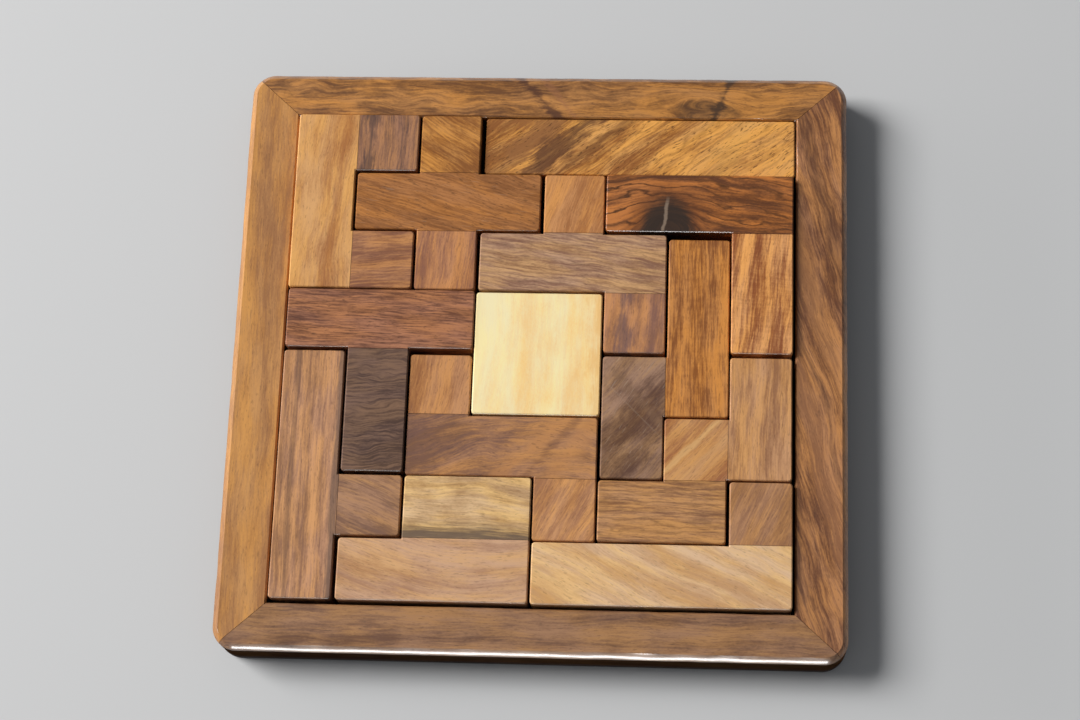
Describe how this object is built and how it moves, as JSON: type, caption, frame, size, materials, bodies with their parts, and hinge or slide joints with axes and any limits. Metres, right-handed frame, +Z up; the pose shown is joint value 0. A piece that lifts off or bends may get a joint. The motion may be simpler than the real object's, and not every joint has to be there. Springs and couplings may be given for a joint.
{
  "type": "pentomino tray puzzle",
  "caption": "Square mitred wooden tray packed with loose flat pentomino pieces and a central square, each piece glued up from blocks of different woods and lifting straight out.",
  "frame": {"origin": "centre of the tray's underside", "axes": "+Z up out of the tray, -Y towards the lower edge that the tray can be stood on, +X to the right when looking down at the pieces"},
  "size_m": [0.1546, 0.1522, 0.0138],
  "materials": {
    "rail_golden": "satin, golden brown with a dark swirl",
    "rail_honey": "satin, golden brown, straight grain",
    "rail_umber": "satin, dark reddish brown",
    "rail_drab": "satin, dull brown",
    "base": "matt, dark brown",
    "honey": "satin, tan orange",
    "golden": "satin, golden brown",
    "tan": "satin, light tan",
    "chestnut": "satin, reddish brown",
    "umber": "satin, dark brown",
    "straw": "satin, pale straw yellow"
  },
  "bodies": {
    "tray": {"base_panel": "base", "rail_top": "rail_golden", "rail_left": "rail_honey", "rail_bottom": "rail_drab", "rail_right": "rail_umber"},
    "u_piece": {"u_bar": "honey", "u_arm_upper": "chestnut", "u_arm_lower": "chestnut"},
    "x_piece": {"x_bar": "golden", "x_arm_upper": "golden", "x_arm_lower": "honey"},
    "i_piece": {"i_bar": "golden"},
    "f_piece": {"f_bar": "chestnut", "f_arm_upper": "honey", "f_arm_lower": "chestnut"},
    "v_piece": {"v_bar": "umber", "v_leg": "honey"},
    "n_piece": {"n_bar": "golden", "n_tail": "umber"},
    "t_piece": {"t_bar": "chestnut", "t_stem": "umber"},
    "square_piece": {"square_block": "straw"},
    "y_piece": {"y_bar": "honey", "y_branch": "chestnut"},
    "z_piece": {"z_bar": "chestnut", "z_arm_upper": "honey", "z_arm_lower": "honey"},
    "w_piece": {"w_upper": "honey", "w_middle": "tan", "w_lower": "chestnut"},
    "p_piece": {"p_bar": "tan", "p_pair": "tan"},
    "l_piece": {"l_bar": "tan", "l_foot": "chestnut"}
  },
  "joints": [
    {"name": "lift_u_piece", "type": "slide", "parent": "tray", "child": "u_piece", "axis": [0, 0, 1], "range_m": [0, 0.03]},
    {"name": "lift_x_piece", "type": "slide", "parent": "tray", "child": "x_piece", "axis": [0, 0, 1], "range_m": [0, 0.03]},
    {"name": "lift_i_piece", "type": "slide", "parent": "tray", "child": "i_piece", "axis": [0, 0, 1], "range_m": [0, 0.03]},
    {"name": "lift_f_piece", "type": "slide", "parent": "tray", "child": "f_piece", "axis": [0, 0, 1], "range_m": [0, 0.03]},
    {"name": "lift_v_piece", "type": "slide", "parent": "tray", "child": "v_piece", "axis": [0, 0, 1], "range_m": [0, 0.03]},
    {"name": "lift_n_piece", "type": "slide", "parent": "tray", "child": "n_piece", "axis": [0, 0, 1], "range_m": [0, 0.03]},
    {"name": "lift_t_piece", "type": "slide", "parent": "tray", "child": "t_piece", "axis": [0, 0, 1], "range_m": [0, 0.03]},
    {"name": "lift_square_piece", "type": "slide", "parent": "tray", "child": "square_piece", "axis": [0, 0, 1], "range_m": [0, 0.03]},
    {"name": "lift_y_piece", "type": "slide", "parent": "tray", "child": "y_piece", "axis": [0, 0, 1], "range_m": [0, 0.03]},
    {"name": "lift_z_piece", "type": "slide", "parent": "tray", "child": "z_piece", "axis": [0, 0, 1], "range_m": [0, 0.03]},
    {"name": "lift_w_piece", "type": "slide", "parent": "tray", "child": "w_piece", "axis": [0, 0, 1], "range_m": [0, 0.03]},
    {"name": "lift_p_piece", "type": "slide", "parent": "tray", "child": "p_piece", "axis": [0, 0, 1], "range_m": [0, 0.03]},
    {"name": "lift_l_piece", "type": "slide", "parent": "tray", "child": "l_piece", "axis": [0, 0, 1], "range_m": [0, 0.03]}
  ]
}
